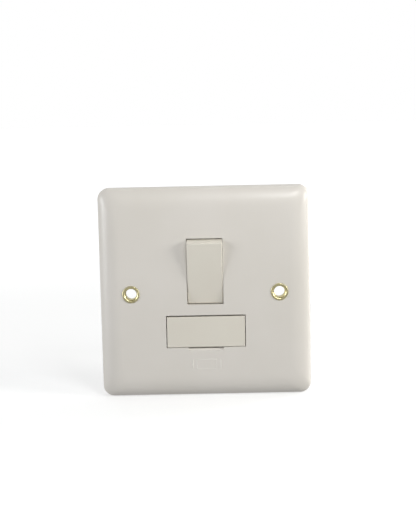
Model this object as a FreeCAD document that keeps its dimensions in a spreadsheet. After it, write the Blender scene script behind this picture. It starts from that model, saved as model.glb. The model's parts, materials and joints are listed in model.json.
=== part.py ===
import FreeCAD, Part
import math
import os
import re
import Sketcher
from FreeCAD import Placement, Rotation, Vector

# A switched fused connection unit for a wall box.
# Millimetres. The front faces -Y, +Z is up and y = 0 is the wall, at the back rim of the plate.
# Every radius has radius in its name. The other names are lengths, gaps or angles in degrees.

SIZES = {
    # Front plate
    "plate_width": 86.0,
    "plate_height": 86.0,
    "plate_depth": 9.0,
    "plate_corner_radius": 4.4,
    "roll_width": 8.5,
    "roll_depth": 5.0,
    "face_wall": 2.8,
    "side_wall": 3.2,
    "inner_corner_radius": 2.4,
    "well_wall": 1.5,
    "rib_thick": 1.4,
    "rib_height": 1.6,
    "rib_offset": 4.2,
    # Fixing eyelets, 60.3 apart on a plate 86 wide
    "fixing_inset": 12.85,
    "eyelet_bore_radius": 2.25,
    "eyelet_sleeve_wall": 0.5,
    "eyelet_flange_radius": 3.53,
    "eyelet_flange_thick": 0.6,
    "eyelet_proud": 0.3,
    "eyelet_edge_radius": 0.27,
    "eyelet_mouth_radius": 0.95,
    "eyelet_tail_radius": 3.5,
    "eyelet_tail_thick": 0.4,
    # Rocker and its opening
    "rocker_centre": 8.85,
    "rocker_opening_width": 14.7,
    "rocker_opening_height": 27.0,
    "rocker_side_gap": 0.14,
    "rocker_end_gap": 0.12,
    "rocker_tilt": 9.5,
    "pivot_depth": 3.6,
    "rocker_proud": 0.87,
    "rocker_skirt": 1.5,
    "rocker_wall": 1.4,
    "rocker_edge_radius": 0.45,
    "trunnion_radius": 1.5,
    "trunnion_length": 1.4,
    "running_fit": 0.06,
    # Sprung plungers in the rocker
    "pole_offset": 3.6,
    "stem_radius": 2.5,
    "stem_reach": 4.6,
    "plunger_radius": 1.5,
    "plunger_reach": 7.7,
    "plunger_nose_radius": 1.45,
    "plunger_guide": 2.6,
    "plunger_travel_room": 0.6,
    "spring_wire_radius": 0.17,
    "spring_turns": 5.0,
    # See-saw contacts
    "tip_gap": 0.15,
    "seesaw_tilt": 8.0,
    "seesaw_rise": 1.8,
    "seesaw_thick": 0.9,
    "seesaw_half_length": 6.5,
    "seesaw_width": 4.2,
    "seesaw_corner_radius": 0.7,
    "saddle_radius": 0.8,
    "saddle_web": 1.0,
    "groove_half_height": 1.9,
    "groove_lip": 0.25,
    "contact_tip_radius": 1.4,
    "moving_tip_height": 1.0,
    "moving_tip_out": 5.0,
    "tip_edge_radius": 0.5,
    "fixed_tip_height": 0.7,
    "contact_gap": 0.15,
    # Flat brass blades that join the contacts to the terminals
    "blade_width": 4.4,
    "blade_thick": 1.0,
    "blade_lead": 1.0,
    "blade_step": 3.5,
    "blade_end_inset": 1.0,
    "blade_margin": 0.5,
    "blade_route": 4.15,
    "trough_gap": 0.2,
    # Fuse, clips and carrier
    "fuse_centre": -15.75,
    "fuse_depth": 7.0,
    "fuse_length": 25.4,
    "fuse_cap_radius": 3.175,
    "fuse_cap_length": 5.8,
    "fuse_cap_wall": 0.25,
    "fuse_cap_edge_radius": 0.35,
    "clip_centre": 10.0,
    "clip_width": 5.0,
    "clip_thick": 0.6,
    "clip_gap": 0.12,
    "clip_seat_gap": 0.4,
    "clip_mouth": 2.4,
    "clip_flare": 0.6,
    "clip_lip_length": 0.8,
    "clip_tail_width": 3.0,
    "clip_tail_thick": 1.0,
    "carrier_opening_width": 32.4,
    "carrier_opening_height": 13.35,
    "carrier_side_gap": 0.28,
    "carrier_top_gap": 0.6,
    "carrier_bottom_gap": 0.12,
    "carrier_wall": 1.2,
    "carrier_rim": 4.6,
    "carrier_edge_radius": 0.35,
    "carrier_arm_width": 5.2,
    "carrier_arm_depth": 16.0,
    "carrier_travel": 11.0,
    "carrier_barb": 0.7,
    "carrier_barb_length": 1.2,
    "cradle_half_width": 5.0,
    "cradle_wall": 1.0,
    "cradle_hook": 1.5,
    "cradle_lip": 0.3,
    "notch_width": 14.3,
    "notch_height": 1.3,
    "notch_ramp_depth": 0.9,
    "notch_slot_height": 0.42,
    "notch_slot_depth": 2.4,
    # Earth strap
    "strap_thick": 1.0,
    "strap_low": -7.9,
    "strap_high": -1.0,
    "strap_branch_width": 5.2,
    "strap_bar_width": 4.1,
    "strap_tab_radius": 4.5,
    "strap_edge": 1.0,
    # Inner tray and rear base
    "base_side_margin": 7.8,
    "base_depth": 12.8,
    "base_corner_radius": 2.5,
    "base_edge": 0.8,
    "tray_setback": 0.25,
    "partition": 1.2,
    "window_side_gap": 1.2,
    "window_end_gap": 0.8,
    "entry_wall": 1.5,
    "entry_radius": 2.7,
    "driver_radius": 3.1,
    "pocket_gap": 0.15,
    # Terminals
    "terminal_size": 8.0,
    "terminal_pitch": 14.4,
    "terminal_edge": 0.4,
    "cable_bore_radius": 2.1,
    "terminal_screw_radius": 1.7,
    "terminal_head_radius": 2.6,
    "terminal_head_height": 1.6,
    "terminal_screw_out": 1.1,
    "screw_slot": 0.8,
    "screw_fit": 0.05,
    # Screws that hold the base and tray to the plate
    "housing_screw_radius": 1.4,
    "housing_head_radius": 2.7,
    "housing_head_height": 1.9,
    "housing_screw_edge": 3.8,
    "housing_screw_rise": 14.0,
    "housing_screw_grip": 4.0,
    "housing_point_length": 1.0,
    "housing_point_taper": 0.6,
    "cross_slot_width": 3.2,
    "cross_slot_depth": 1.1,
    "pillar_radius": 2.6,
}

# Places worked out from the sizes, front to back
PLATE_FRONT = "(0 - plate_depth)"
FACE_BACK = "(face_wall - plate_depth)"
WELL_BACK = "(0 - strap_thick)"
PIVOT_Y = "(pivot_depth - plate_depth)"
SEESAW_Y = f"({PIVOT_Y} + plunger_reach + tip_gap + seesaw_rise)"
MOVING_TIP_BACK = "(seesaw_thick + moving_tip_height - seesaw_rise)"
FIXED_TIP_FACE = (f"({SEESAW_Y} + {MOVING_TIP_BACK} * cos(seesaw_tilt)"
                  " + (moving_tip_out + contact_tip_radius) * sin(seesaw_tilt) + contact_gap)")
BLADE_FRONT = f"({FIXED_TIP_FACE} + fixed_tip_height)"
BLADE_BACK = f"({BLADE_FRONT} + blade_thick)"
TRAY_BACK = f"({BLADE_FRONT} - blade_lead)"
TERMINAL_BACK = f"({BLADE_BACK} + terminal_size)"
CABLE_Y = f"({BLADE_BACK} + terminal_size / 2)"
BASE_BACK = f"({TRAY_BACK} + base_depth)"
FUSE_Y = "(fuse_depth - plate_depth)"
CHAMBER_FLOOR = f"({FUSE_Y} + fuse_cap_radius + clip_seat_gap + clip_thick)"

# Places across and up the plate
ROCKER_HALF_WIDTH = "(rocker_opening_width / 2 - rocker_side_gap)"
ROCKER_RADIUS = "(rocker_opening_height / 2 - rocker_end_gap)"
ROCKER_RISE = "(pivot_depth + rocker_proud)"
CARRIER_TOP = "(carrier_opening_height / 2 - carrier_top_gap)"
CARRIER_LOW = "(carrier_bottom_gap - carrier_opening_height / 2)"
CARRIER_HALF_WIDTH = "(carrier_opening_width / 2 - carrier_side_gap)"
FUSE_TUBE_RADIUS = "(fuse_cap_radius - fuse_cap_wall)"
CLIP_INNER = "(fuse_cap_radius + clip_gap)"
EYELET_X = "(plate_width / 2 - fixing_inset)"
BASE_HALF_WIDTH = "(carrier_opening_width / 2 + base_side_margin)"
ROW_HEIGHT = "(rocker_centre + seesaw_half_length + blade_route + terminal_size / 2)"
BASE_HALF_HEIGHT = f"({ROW_HEIGHT} + terminal_size / 2 + entry_wall)"
CONTACT_OUT = f"(moving_tip_out * cos(seesaw_tilt) - {MOVING_TIP_BACK} * sin(seesaw_tilt))"
CONTACT_Z = f"(rocker_centre + {CONTACT_OUT})"
FIXED_BLADE_LOW = f"({CONTACT_Z} - contact_tip_radius - blade_margin)"
SADDLE_TOP = "(rocker_centre + saddle_radius * 2)"
STRAP_OUT = f"({BASE_HALF_WIDTH} + strap_edge)"
STRAP_IN = f"({STRAP_OUT} - strap_edge * 2 - strap_branch_width)"
SCREW_X = f"({BASE_HALF_WIDTH} - housing_screw_edge)"

doc = FreeCAD.newDocument("FusedConnectionUnit")
sheet = doc.addObject("Spreadsheet::Sheet", "Sizes")
for row, (alias, number) in enumerate(SIZES.items(), start=1):
    sheet.set(f"A{row}", alias)
    sheet.set(f"B{row}", str(number))
    sheet.setAlias(f"B{row}", alias)
doc.recompute()

PARTS = []
WORD = re.compile(r"[a-z][a-z_]*")


def bound(expression):
    """The expression with each size's name written as a cell of the sheet."""
    def cell(match):
        word = match.group(0)
        return f"Sizes.{word}" if word in SIZES else word
    return WORD.sub(cell, str(expression))


def amount(expression):
    """The number that an expression has now."""
    return float(sheet.evalExpression(bound(expression)))


def mirrored(expression, side):
    """The expression for the right side as it is, and turned round for the left side."""
    return expression if side > 0 else f"(0 - {expression})"


def fix_place(thing, across="0", back="0", up="0", tilt=None):
    """Place a sub-part, and turn it about an axis along X where a tilt is given."""
    turn = Rotation(Vector(1, 0, 0), 1 if tilt else 0)
    thing.Placement = Placement(Vector(0, 0, 0), turn)
    thing.setExpression("Placement.Base.x", bound(across))
    thing.setExpression("Placement.Base.y", bound(back))
    thing.setExpression("Placement.Base.z", bound(up))
    if tilt:
        thing.setExpression("Placement.Rotation.Angle", bound(tilt))


def new_body(label):
    body = doc.addObject("PartDesign::Body", label)
    body.Label = label
    PARTS.append(body)
    return body


# Planes: the name of the origin plane, and whether its sketches face the axis's own way
ALONG_Y = ("XZ_Plane", -1)
ALONG_X = ("YZ_Plane", 1)
ALONG_Z = ("XY_Plane", 1)


def new_sketch(body, plane, at):
    """A sketch square to the plane's axis, at the place given along that axis."""
    role, facing = plane
    sketch = body.newObject("Sketcher::SketchObject", "Sketch")
    support = [item for item in body.Origin.OriginFeatures if item.Role == role][0]
    sketch.AttachmentSupport = [(support, "")]
    sketch.MapMode = "FlatFace"
    height = at if facing > 0 else f"0 - ({at})"
    sketch.setExpression("AttachmentOffset.Base.z", bound(height))
    return sketch


def measure(sketch, kind, args, expression):
    """Add one dimension and bind it to the sheet."""
    number = sketch.addConstraint(Sketcher.Constraint(kind, *args, amount(expression)))
    sketch.setExpression(f"Constraints[{number}]", bound(expression))


def draw_polygon(sketch, corners):
    """A closed outline with its corners at places given as expressions."""
    points = [Vector(amount(across), amount(up), 0) for across, up in corners]
    first = sketch.GeometryCount
    total = len(points)
    for i in range(total):
        sketch.addGeometry(Part.LineSegment(points[i], points[(i + 1) % total]))
    for i in range(total):
        ends = (first + i, 2, first + (i + 1) % total, 1)
        sketch.addConstraint(Sketcher.Constraint("Coincident", *ends))
        measure(sketch, "DistanceX", (-1, 1, first + i, 1), corners[i][0])
        measure(sketch, "DistanceY", (-1, 1, first + i, 1), corners[i][1])


def draw_circle(sketch, across, up, radius):
    centre = Vector(amount(across), amount(up), 0)
    number = sketch.addGeometry(Part.Circle(centre, Vector(0, 0, 1), amount(radius)))
    measure(sketch, "DistanceX", (-1, 1, number, 3), across)
    measure(sketch, "DistanceY", (-1, 1, number, 3), up)
    measure(sketch, "Radius", (number,), radius)


def box_corners(left, right, low, high):
    return [(left, low), (right, low), (right, high), (left, high)]


def centred_box(across, up, width, height):
    half_width, half_height = f"({width}) / 2", f"({height}) / 2"
    return box_corners(f"{across} - {half_width}", f"{across} + {half_width}",
                       f"{up} - {half_height}", f"{up} + {half_height}")


def add_prism(body, plane, start, end, outlines=(), circles=()):
    """A block from start to end along the plane's axis."""
    sketch = new_sketch(body, plane, start if plane[1] > 0 else end)
    for corners in outlines:
        draw_polygon(sketch, corners)
    for circle in circles:
        draw_circle(sketch, *circle)
    pad = body.newObject("PartDesign::Pad", "Pad")
    pad.Profile = sketch
    pad.setExpression("Length", bound(f"({end}) - ({start})"))
    doc.recompute()
    return pad


def cut_prism(body, plane, start, end, outlines=(), circles=()):
    """A hole from start to end along the plane's axis. It must take something away."""
    before = body.Shape.Volume
    sketch = new_sketch(body, plane, end if plane[1] > 0 else start)
    for corners in outlines:
        draw_polygon(sketch, corners)
    for circle in circles:
        draw_circle(sketch, *circle)
    pocket = body.newObject("PartDesign::Pocket", "Pocket")
    pocket.Profile = sketch
    pocket.setExpression("Length", bound(f"({end}) - ({start})"))
    doc.recompute()
    if body.Shape.Volume >= before - 1e-6:
        raise RuntimeError(f"A pocket in {body.Label} cut nothing")
    return pocket


def add_turned(body, corners):
    """A turned solid about the axis along Y: corners are (back, radius) pairs."""
    sketch = new_sketch(body, ALONG_X, "0")
    draw_polygon(sketch, corners)
    turned = body.newObject("PartDesign::Revolution", "Revolution")
    turned.Profile = sketch
    turned.ReferenceAxis = (sketch, ["H_Axis"])
    turned.Angle = 360
    doc.recompute()
    return turned


def round_edges(body, radius, wanted, kind="Fillet"):
    """Fillet or chamfer the body's edges for which wanted(edge) is true."""
    base = body.Tip
    names = [f"Edge{i + 1}" for i, edge in enumerate(base.Shape.Edges) if wanted(edge)]
    if not names:
        raise RuntimeError(f"No edges to round on {body.Label}")
    feature = body.newObject(f"PartDesign::{kind}", kind)
    feature.Base = (base, names)
    feature.setExpression("Radius" if kind == "Fillet" else "Size", bound(radius))
    doc.recompute()
    return feature


def runs_along(edge, axis):
    """Whether an edge is straight and runs along the axis given as 0, 1 or 2."""
    if not isinstance(edge.Curve, Part.Line):
        return False
    return abs(abs(edge.tangentAt(edge.FirstParameter)[axis]) - 1) < 1e-6


def lies_at(edge, axis, place):
    """Whether a whole edge lies at one place along an axis."""
    box = edge.BoundBox
    low, high = ((box.XMin, box.XMax), (box.YMin, box.YMax), (box.ZMin, box.ZMax))[axis]
    return abs(low - place) < 1e-3 and abs(high - place) < 1e-3


def outside(edge, half_width, half_height):
    """Whether an edge's middle lies on the outside of a rectangle, seen from the front."""
    centre = edge.BoundBox.Center
    return abs(centre.x) > half_width - 1e-3 or abs(centre.z) > half_height - 1e-3


def draw_rounded_box(sketch, half_width, half_height, radius):
    """A rectangle about the origin with rounded corners: an arc and a side, four times."""
    wide, high, bend = amount(half_width), amount(half_height), amount(radius)
    turns = [(1, 1), (-1, 1), (-1, -1), (1, -1)]
    centres = [Vector(right * (wide - bend), up * (high - bend), 0) for right, up in turns]
    for i, centre in enumerate(centres):
        start, end = i * math.pi / 2, (i + 1) * math.pi / 2
        circle = Part.Circle(centre, Vector(0, 0, 1), bend)
        sketch.addGeometry(Part.ArcOfCircle(circle, start, end))
        reach = Vector(bend * math.cos(end), bend * math.sin(end), 0)
        sketch.addGeometry(Part.LineSegment(centre + reach, centres[(i + 1) % 4] + reach))
    for i, (right, up) in enumerate(turns):
        arc, side, next_arc = i * 2, i * 2 + 1, (i * 2 + 2) % 8
        sketch.addConstraint(Sketcher.Constraint("Tangent", arc, 2, side, 1))
        sketch.addConstraint(Sketcher.Constraint("Tangent", side, 2, next_arc, 1))
        measure(sketch, "Radius", (arc,), radius)
        measure(sketch, "DistanceX", (-1, 1, arc, 3), mirrored(f"({half_width} - {radius})", right))
        measure(sketch, "DistanceY", (-1, 1, arc, 3), mirrored(f"({half_height} - {radius})", up))


# Slices through the plate's rolled edge, from the wall (0) to the flat face (90)
ROLL_ANGLES = (0, 15, 30, 45, 60, 75, 90)


def add_rolled_front(body):
    """The front of the plate: its edge rolls over as a quarter ellipse, wider than deep."""
    sections = []
    for angle in ROLL_ANGLES:
        inset = f"(roll_width * (1 - cos({angle})))"
        sketch = new_sketch(body, ALONG_Y, f"(roll_depth * (1 - sin({angle})) - plate_depth)")
        draw_rounded_box(sketch, f"(plate_width / 2 - {inset})", f"(plate_height / 2 - {inset})",
                         "plate_corner_radius")
        sections.append(sketch)
    loft = body.newObject("PartDesign::AdditiveLoft", "RolledFront")
    loft.Profile = sections[0]
    loft.Sections = sections[1:]
    doc.recompute()


def make_front_plate():
    """The moulded plate: rolled edges, two openings with wells behind, ribs and screw pillars."""
    body = new_body("front_plate")
    add_prism(body, ALONG_Y, "(roll_depth - plate_depth)", "0",
              [centred_box("0", "0", "plate_width", "plate_height")])
    round_edges(body, "plate_corner_radius", lambda edge: runs_along(edge, 1))
    add_rolled_front(body)
    cut_prism(body, ALONG_Y, FACE_BACK, "0", [
        centred_box("0", "0", "plate_width - side_wall * 2", "plate_height - side_wall * 2")])
    inner_half = amount("plate_width / 2 - side_wall")

    def hollow_corner(edge):
        middle = edge.BoundBox.Center
        return runs_along(edge, 1) and abs(abs(middle.x) - inner_half) < 1e-3
    round_edges(body, "inner_corner_radius", hollow_corner)
    face_back = amount(FACE_BACK)
    round_edges(body, "inner_corner_radius", lambda edge: lies_at(edge, 1, face_back))

    rocker_well = centred_box("0", "rocker_centre", "rocker_opening_width + well_wall * 2",
                              "rocker_opening_height + well_wall * 2")
    fuse_well = centred_box("0", "fuse_centre",
                            "carrier_opening_width + (well_wall + carrier_barb) * 2",
                            "carrier_opening_height + well_wall * 2")
    add_prism(body, ALONG_Y, FACE_BACK, WELL_BACK, [rocker_well])
    add_prism(body, ALONG_Y, FACE_BACK, WELL_BACK, [fuse_well])
    pillars_under_strap = [(f"0 - {SCREW_X}", "housing_screw_rise", "pillar_radius"),
                           (SCREW_X, "0 - housing_screw_rise", "pillar_radius")]
    free_pillars = [(SCREW_X, "housing_screw_rise", "pillar_radius"),
                    (f"0 - {SCREW_X}", "0 - housing_screw_rise", "pillar_radius")]
    add_prism(body, ALONG_Y, FACE_BACK, WELL_BACK, circles=pillars_under_strap)
    add_prism(body, ALONG_Y, FACE_BACK, "0", circles=free_pillars)
    rib_back = f"({FACE_BACK} + rib_height)"
    inner_side = "(plate_width / 2 - side_wall)"
    for side in (-1, 1):
        for place in ("housing_screw_rise", "(0 - housing_screw_rise)"):
            low, high = f"{place} - rib_thick / 2", f"{place} + rib_thick / 2"
            near = mirrored(SCREW_X, side)
            far = mirrored(f"({inner_side} + side_wall / 2)", side)
            add_prism(body, ALONG_Y, FACE_BACK, rib_back, [box_corners(near, far, low, high)])
    inner_top = "(plate_height / 2 - side_wall / 2)"
    rocker_top = "(rocker_centre + rocker_opening_height / 2)"
    carrier_low = "(fuse_centre - carrier_opening_height / 2)"
    for across in ("(0 - rib_offset)", "rib_offset"):
        left, right = f"{across} - rib_thick / 2", f"{across} + rib_thick / 2"
        add_prism(body, ALONG_Y, FACE_BACK, rib_back,
                  [box_corners(left, right, rocker_top, inner_top)])
        add_prism(body, ALONG_Y, FACE_BACK, rib_back,
                  [box_corners(left, right, f"(0 - {inner_top})", carrier_low)])

    cut_prism(body, ALONG_Y, PLATE_FRONT, WELL_BACK, [
        centred_box("0", "rocker_centre", "rocker_opening_width", "rocker_opening_height")])
    cut_prism(body, ALONG_Y, PLATE_FRONT, WELL_BACK, [
        centred_box("0", "fuse_centre", "carrier_opening_width", "carrier_opening_height")])
    bearing = (PIVOT_Y, "rocker_centre", "trunnion_radius + running_fit")
    bearing_reach = "(rocker_opening_width / 2 + well_wall + running_fit)"
    cut_prism(body, ALONG_X, f"(0 - {bearing_reach})", bearing_reach, circles=[bearing])
    groove_reach = f"({CARRIER_HALF_WIDTH} + carrier_barb + carrier_side_gap)"
    groove = box_corners(f"(0 - {groove_reach})", groove_reach,
                         "fuse_centre - carrier_arm_width / 2 - carrier_side_gap",
                         "fuse_centre + carrier_arm_width / 2 + carrier_side_gap")
    barb_front = "(carrier_arm_depth - carrier_barb_length - plate_depth)"
    cut_prism(body, ALONG_Y, f"({barb_front} - carrier_travel)", WELL_BACK, [groove])
    notch_top = "(fuse_centre - carrier_opening_height / 2)"
    slot_low, slot_back = f"{notch_top} - notch_slot_height", f"{PLATE_FRONT} + notch_slot_depth"
    notch = [(PLATE_FRONT, f"{notch_top} - notch_height"),
             (f"{PLATE_FRONT} + notch_ramp_depth", slot_low),
             (slot_back, slot_low),
             (slot_back, f"{notch_top} + carrier_bottom_gap"),
             (PLATE_FRONT, f"{notch_top} + carrier_bottom_gap")]
    cut_prism(body, ALONG_X, "(0 - notch_width / 2)", "(notch_width / 2)", [notch])

    eyelet_hole = "(eyelet_bore_radius + eyelet_sleeve_wall)"
    for side in (-1, 1):
        across = mirrored(EYELET_X, side)
        cut_prism(body, ALONG_Y, PLATE_FRONT, FACE_BACK, circles=[(across, "0", eyelet_hole)])
        recess_back = f"({PLATE_FRONT} + eyelet_flange_thick - eyelet_proud)"
        cut_prism(body, ALONG_Y, PLATE_FRONT, recess_back,
                  circles=[(across, "0", "eyelet_flange_radius")])
    hole_front = "(0 - strap_thick - housing_screw_grip)"
    for across, up, _ in pillars_under_strap + free_pillars:
        cut_prism(body, ALONG_Y, hole_front, "0", circles=[(across, up, "housing_screw_radius")])


def make_eyelet(name, side):
    """A brass eyelet: rolled flange at the front, sleeve, and a tail clenched behind the strap."""
    body = new_body(name)
    outer = "(eyelet_bore_radius + eyelet_sleeve_wall)"
    flange_front = "(0 - eyelet_proud)"
    flange_back = "(eyelet_flange_thick - eyelet_proud)"
    tail_front = "(face_wall + strap_thick)"
    tail_back = f"({tail_front} + eyelet_tail_thick)"
    add_turned(body, [(flange_front, "eyelet_bore_radius"), (flange_front, "eyelet_flange_radius"),
                      (flange_back, "eyelet_flange_radius"), (flange_back, outer),
                      (tail_front, outer), (tail_front, "eyelet_tail_radius"),
                      (tail_back, "eyelet_tail_radius"), (tail_back, "eyelet_bore_radius")])
    front = amount(flange_front)
    mouth = amount("eyelet_bore_radius")

    def mouth_edge(edge):
        return lies_at(edge, 1, front) and abs(edge.Curve.Radius - mouth) < 1e-3
    round_edges(body, "eyelet_mouth_radius", mouth_edge)
    round_edges(body, "eyelet_edge_radius", lambda edge: lies_at(edge, 1, front)
                and edge.Curve.Radius > amount("eyelet_flange_radius") - 1e-3)
    fix_place(body, mirrored(EYELET_X, side), PLATE_FRONT)


def make_earth_strap():
    """The stamped brass strap: a crossbar, a tab at each eyelet and a leg to each earth terminal."""
    body = new_body("earth_strap")
    out, inner = STRAP_OUT, STRAP_IN
    edge_in = f"({out} - strap_edge * 2)"
    top = f"({ROW_HEIGHT} + terminal_size / 2 + entry_wall / 2)"
    bar_low = f"({top} - strap_bar_width)"
    leg = "(blade_width / 2)"
    tab = "strap_tab_radius"
    pitch = "terminal_pitch"
    outline = [
        (f"0 - {out}", "strap_low"),
        (inner, "strap_low"),
        (inner, f"0 - {bar_low}"),
        (f"{pitch} - {leg}", f"0 - {bar_low}"),
        (f"{pitch} - {leg}", f"0 - {top}"),
        (edge_in, f"0 - {top}"),
        (edge_in, "strap_low"),
        (out, "strap_low"),
        (out, tab),
        (inner, tab),
        (inner, "strap_high"),
        (f"0 - {inner}", "strap_high"),
        (f"0 - {inner}", bar_low),
        (leg, bar_low),
        (leg, top),
        (f"0 - {edge_in}", top),
        (f"0 - {edge_in}", tab),
        (f"0 - {out}", tab),
    ]
    add_prism(body, ALONG_Y, WELL_BACK, "0", [outline])
    tab_back = f"({FACE_BACK} + strap_thick)"
    for side in (-1, 1):
        eye = mirrored(EYELET_X, side)
        near, far = mirrored(f"({out} - strap_thick)", side), mirrored(out, side)
        riser = box_corners(near, far, "(0 - strap_tab_radius)", tab)
        add_prism(body, ALONG_Y, FACE_BACK, "0", [riser])
        flat = box_corners(near, eye, "(0 - strap_tab_radius)", tab)
        add_prism(body, ALONG_Y, FACE_BACK, tab_back, [flat])
        add_prism(body, ALONG_Y, FACE_BACK, tab_back, circles=[(eye, "0", tab)])
        cut_prism(body, ALONG_Y, FACE_BACK, tab_back,
                  circles=[(eye, "0", "eyelet_bore_radius + eyelet_sleeve_wall")])
        hole_x = mirrored(SCREW_X, side)
        hole_z = mirrored("housing_screw_rise", -side)
        cut_prism(body, ALONG_Y, WELL_BACK, "0",
                  circles=[(hole_x, hole_z, "housing_screw_radius + trough_gap")])
    foot_end = f"({ROW_HEIGHT} - terminal_size / 2 + blade_end_inset)"
    for across, side in (("0", 1), (pitch, -1)):
        left, right = f"{across} - {leg}", f"{across} + {leg}"
        low, high = mirrored(bar_low, side), mirrored(f"({bar_low} + strap_thick)", side)
        add_prism(body, ALONG_Y, "0", BLADE_BACK, [box_corners(left, right, low, high)])
        foot = box_corners(left, right, mirrored(foot_end, side), low)
        add_prism(body, ALONG_Y, BLADE_FRONT, BLADE_BACK, [foot])


def blade_outline(x_start, z_start, x_end, z_end, bar, grow="0"):
    """A blade of one width from start to end, with a step across at the height named bar.

    Start is the upper end. The step goes right where x_end is more than x_start.
    """
    half = f"(blade_width / 2 + {grow})"
    rightward = amount(x_end) >= amount(x_start)
    near, far = ("+", "-") if rightward else ("-", "+")
    high, low = f"{bar} + {half}", f"{bar} - {half}"
    return [
        (f"{x_start} {far} {half}", f"{z_start} + {grow}"),
        (f"{x_start} {near} {half}", f"{z_start} + {grow}"),
        (f"{x_start} {near} {half}", high),
        (f"{x_end} {near} {half}", high),
        (f"{x_end} {near} {half}", f"{z_end} - {grow}"),
        (f"{x_end} {far} {half}", f"{z_end} - {grow}"),
        (f"{x_end} {far} {half}", low),
        (f"{x_start} {far} {half}", low),
    ]


def straight_outline(x_centre, z_high, z_low, grow="0"):
    half = f"(blade_width / 2 + {grow})"
    return box_corners(f"{x_centre} - {half}", f"{x_centre} + {half}",
                       f"{z_low} - {grow}", f"{z_high} + {grow}")


def blade_outlines(grow="0"):
    """The outlines of the five flat blades, each seen from the front."""
    pole, pitch = "pole_offset", "terminal_pitch"
    row_in = f"({ROW_HEIGHT} - terminal_size / 2)"
    row_out = f"({ROW_HEIGHT} + terminal_size / 2 - blade_end_inset)"
    top_bar = f"({row_in} - blade_step)"
    fuse_bar = "(fuse_centre + carrier_opening_height / 2)"
    clip_low = "(fuse_centre - clip_tail_width)"
    clip_high = "(fuse_centre + clip_tail_width)"
    load_bar = f"(blade_end_inset - {ROW_HEIGHT})"
    return {
        "fixed_blade_neutral": blade_outline(f"(0 - {pitch})", row_out, f"(0 - {pole})",
                                             FIXED_BLADE_LOW, top_bar, grow),
        "fixed_blade_live": blade_outline(pitch, row_out, pole, FIXED_BLADE_LOW, top_bar, grow),
        "saddle_blade_neutral": straight_outline(f"(0 - {pole})", SADDLE_TOP,
                                                 f"(0 - {row_out})", grow),
        "saddle_blade_live": blade_outline(pole, SADDLE_TOP, "clip_centre", clip_low,
                                           fuse_bar, grow),
        "load_blade_live": blade_outline("(0 - clip_centre)", clip_high, f"(0 - {pitch})",
                                         f"(0 - {row_out})", load_bar, grow),
    }


def make_blades():
    """Brass blades. Two carry a fixed contact, two carry a saddle and one runs from the fuse."""
    for name, outline in blade_outlines().items():
        body = new_body(name)
        add_prism(body, ALONG_Y, BLADE_FRONT, BLADE_BACK, [outline])
        if name.startswith("saddle"):
            pole = mirrored("pole_offset", 1 if name.endswith("live") else -1)
            left, right = f"({pole} - seesaw_width / 2)", f"({pole} + seesaw_width / 2)"
            web = box_corners(SEESAW_Y, BLADE_FRONT, "rocker_centre - saddle_web / 2",
                              "rocker_centre + saddle_web / 2")
            add_prism(body, ALONG_X, left, right, [web])
            add_prism(body, ALONG_X, left, right,
                      circles=[(SEESAW_Y, "rocker_centre", "saddle_radius")])


def make_contact_tips():
    """Silver contact tips: one riveted on each see-saw and one on each fixed blade."""
    for pole, side in (("neutral", -1), ("live", 1)):
        across = mirrored("pole_offset", side)
        moving = new_body(f"moving_tip_{pole}")
        back_of_strip = "(seesaw_thick - seesaw_rise)"
        add_prism(moving, ALONG_Y, back_of_strip, MOVING_TIP_BACK,
                  circles=[("0", "moving_tip_out", "contact_tip_radius")])
        back = amount(MOVING_TIP_BACK)
        round_edges(moving, "tip_edge_radius", lambda edge: lies_at(edge, 1, back))
        fix_place(moving, across, SEESAW_Y, "rocker_centre", "0 - seesaw_tilt")
        fixed = new_body(f"fixed_tip_{pole}")
        add_prism(fixed, ALONG_Y, FIXED_TIP_FACE, BLADE_FRONT,
                  circles=[(across, CONTACT_Z, "contact_tip_radius")])


def make_seesaw(pole, side):
    """The see-saw contact: a flat strip with a groove that rocks on the saddle's round ridge."""
    body = new_body(f"moving_contact_{pole}")
    front, back = "(0 - seesaw_rise)", "(seesaw_thick - seesaw_rise)"
    length, groove = "seesaw_half_length", "groove_half_height"
    profile = [(front, f"0 - {length}"), (back, f"0 - {length}"), (back, f"0 - {groove}"),
               ("groove_lip", f"0 - {groove}"), ("groove_lip", groove), (back, groove),
               (back, length), (front, length)]
    add_prism(body, ALONG_X, "(0 - seesaw_width / 2)", "(seesaw_width / 2)", [profile])
    cut_prism(body, ALONG_X, "(0 - seesaw_width / 2)", "(seesaw_width / 2)",
              circles=[("0", "0", "saddle_radius + running_fit")])
    ends = amount(length)
    round_edges(body, "seesaw_corner_radius",
                lambda edge: runs_along(edge, 1) and abs(abs(edge.BoundBox.Center.z) - ends) < 1e-3)
    fix_place(body, mirrored("pole_offset", side), SEESAW_Y, "rocker_centre", "0 - seesaw_tilt")


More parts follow.
